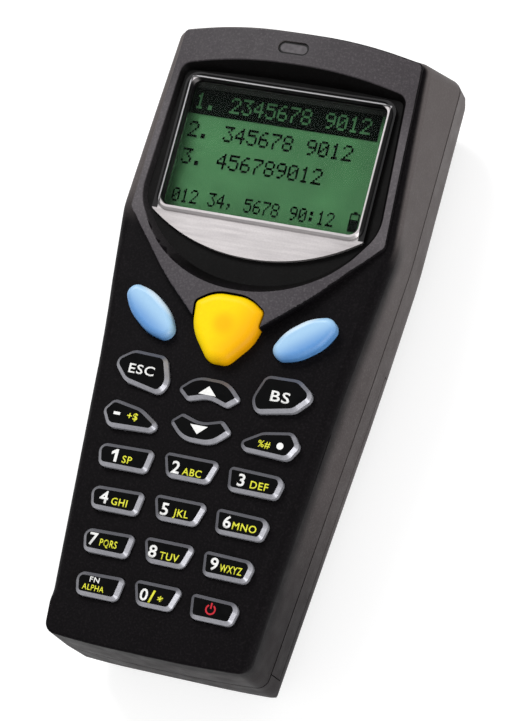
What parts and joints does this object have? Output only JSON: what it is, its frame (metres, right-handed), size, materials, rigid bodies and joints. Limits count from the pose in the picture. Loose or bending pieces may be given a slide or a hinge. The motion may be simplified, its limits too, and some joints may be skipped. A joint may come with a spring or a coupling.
{
  "type": "handheld data terminal",
  "caption": "Pocket data terminal with a sunk display, silver trim, sprung keypad, end scan window and a sliding battery cover, lying on its back.",
  "frame": {"origin": "centre of the body's footprint, on the surface that its back rests on", "axes": "+Z out of the keypad face, +Y towards the display and scan end, +X to the right of a user who reads the display"},
  "size_m": [0.0578, 0.1244, 0.0322],
  "materials": {
    "case_black": "fine textured satin",
    "key_black": "gloss top, satin grey bevel",
    "key_yellow": "satin",
    "key_blue": "satin",
    "trim_silver": "brushed",
    "lens_clear": "clear gloss",
    "lcd_green": "matt film",
    "guide_white": "satin",
    "light_smoke": "smoked gloss",
    "window_red": "dark tinted gloss",
    "board_green": "solder mask",
    "mat_rubber": "matt",
    "film": "satin film",
    "chip_black": "moulded epoxy",
    "can_steel": "tinned",
    "cell_wrap": "plain wrapped",
    "spring_steel": "nickel plated",
    "screw_steel": "blackened"
  },
  "bodies": {
    "case": {"front_housing": "case_black", "display_trim": "trim_silver", "display_lens": "lens_clear", "lcd_panel": "lcd_green", "lcd_backlight": "guide_white", "status_light_lens": "light_smoke", "main_board": "board_green", "dome_sheet": "film", "keypad_mat": "mat_rubber", "processor_chip": "chip_black", "memory_chips": "chip_black", "shield_can": "can_steel", "backup_cell": "can_steel", "engine_socket": "film", "rear_housing": "case_black", "scan_window": "window_red", "battery_cell_left": "cell_wrap", "battery_cell_right": "cell_wrap", "battery_springs": "spring_steel", "battery_contacts": "spring_steel", "engine_bracket": "can_steel", "scan_engine": "chip_black", "buzzer": "chip_black", "port_window": "window_red", "port_transceiver": "chip_black", "housing_screws": "screw_steel"},
    "cover": {"battery_cover": "case_black"},
    "scan_key": {"key_scan": "key_yellow"},
    "oval_left_key": {"key_oval_left": "key_blue"},
    "oval_right_key": {"key_oval_right": "key_blue"},
    "escape_key": {"key_escape": "key_black"},
    "backspace_key": {"key_backspace": "key_black"},
    "up_key": {"key_up": "key_black"},
    "down_key": {"key_down": "key_black"},
    "minus_key": {"key_minus": "key_black"},
    "point_key": {"key_point": "key_black"},
    "digit_1_key": {"key_1": "key_black"},
    "digit_2_key": {"key_2": "key_black"},
    "digit_3_key": {"key_3": "key_black"},
    "digit_4_key": {"key_4": "key_black"},
    "digit_5_key": {"key_5": "key_black"},
    "digit_6_key": {"key_6": "key_black"},
    "digit_7_key": {"key_7": "key_black"},
    "digit_8_key": {"key_8": "key_black"},
    "digit_9_key": {"key_9": "key_black"},
    "function_key": {"key_function": "key_black"},
    "digit_0_key": {"key_0": "key_black"},
    "power_key": {"key_power": "key_black"}
  },
  "joints": [
    {"name": "cover_slide", "type": "slide", "parent": "case", "child": "cover", "axis": [0, -1, 0], "range_m": [0, 0.085]},
    {"name": "scan_press", "type": "slide", "parent": "case", "child": "scan_key", "axis": [0, 0, -1], "range_m": [0, 0.0009], "stiffness_N_per_m": 1200},
    {"name": "oval_left_press", "type": "slide", "parent": "case", "child": "oval_left_key", "axis": [0, 0, -1], "range_m": [0, 0.0009], "stiffness_N_per_m": 1200},
    {"name": "oval_right_press", "type": "slide", "parent": "case", "child": "oval_right_key", "axis": [0, 0, -1], "range_m": [0, 0.0009], "stiffness_N_per_m": 1200},
    {"name": "escape_press", "type": "slide", "parent": "case", "child": "escape_key", "axis": [0, 0, -1], "range_m": [0, 0.0009], "stiffness_N_per_m": 1200},
    {"name": "backspace_press", "type": "slide", "parent": "case", "child": "backspace_key", "axis": [0, 0, -1], "range_m": [0, 0.0009], "stiffness_N_per_m": 1200},
    {"name": "up_press", "type": "slide", "parent": "case", "child": "up_key", "axis": [0, 0, -1], "range_m": [0, 0.0009], "stiffness_N_per_m": 1200},
    {"name": "down_press", "type": "slide", "parent": "case", "child": "down_key", "axis": [0, 0, -1], "range_m": [0, 0.0009], "stiffness_N_per_m": 1200},
    {"name": "minus_press", "type": "slide", "parent": "case", "child": "minus_key", "axis": [0, 0, -1], "range_m": [0, 0.0009], "stiffness_N_per_m": 1200},
    {"name": "point_press", "type": "slide", "parent": "case", "child": "point_key", "axis": [0, 0, -1], "range_m": [0, 0.0009], "stiffness_N_per_m": 1200},
    {"name": "digit_1_press", "type": "slide", "parent": "case", "child": "digit_1_key", "axis": [0, 0, -1], "range_m": [0, 0.0009], "stiffness_N_per_m": 1200},
    {"name": "digit_2_press", "type": "slide", "parent": "case", "child": "digit_2_key", "axis": [0, 0, -1], "range_m": [0, 0.0009], "stiffness_N_per_m": 1200},
    {"name": "digit_3_press", "type": "slide", "parent": "case", "child": "digit_3_key", "axis": [0, 0, -1], "range_m": [0, 0.0009], "stiffness_N_per_m": 1200},
    {"name": "digit_4_press", "type": "slide", "parent": "case", "child": "digit_4_key", "axis": [0, 0, -1], "range_m": [0, 0.0009], "stiffness_N_per_m": 1200},
    {"name": "digit_5_press", "type": "slide", "parent": "case", "child": "digit_5_key", "axis": [0, 0, -1], "range_m": [0, 0.0009], "stiffness_N_per_m": 1200},
    {"name": "digit_6_press", "type": "slide", "parent": "case", "child": "digit_6_key", "axis": [0, 0, -1], "range_m": [0, 0.0009], "stiffness_N_per_m": 1200},
    {"name": "digit_7_press", "type": "slide", "parent": "case", "child": "digit_7_key", "axis": [0, 0, -1], "range_m": [0, 0.0009], "stiffness_N_per_m": 1200},
    {"name": "digit_8_press", "type": "slide", "parent": "case", "child": "digit_8_key", "axis": [0, 0, -1], "range_m": [0, 0.0009], "stiffness_N_per_m": 1200},
    {"name": "digit_9_press", "type": "slide", "parent": "case", "child": "digit_9_key", "axis": [0, 0, -1], "range_m": [0, 0.0009], "stiffness_N_per_m": 1200},
    {"name": "function_press", "type": "slide", "parent": "case", "child": "function_key", "axis": [0, 0, -1], "range_m": [0, 0.0009], "stiffness_N_per_m": 1200},
    {"name": "digit_0_press", "type": "slide", "parent": "case", "child": "digit_0_key", "axis": [0, 0, -1], "range_m": [0, 0.0009], "stiffness_N_per_m": 1200},
    {"name": "power_press", "type": "slide", "parent": "case", "child": "power_key", "axis": [0, 0, -1], "range_m": [0, 0.0009], "stiffness_N_per_m": 1200}
  ]
}
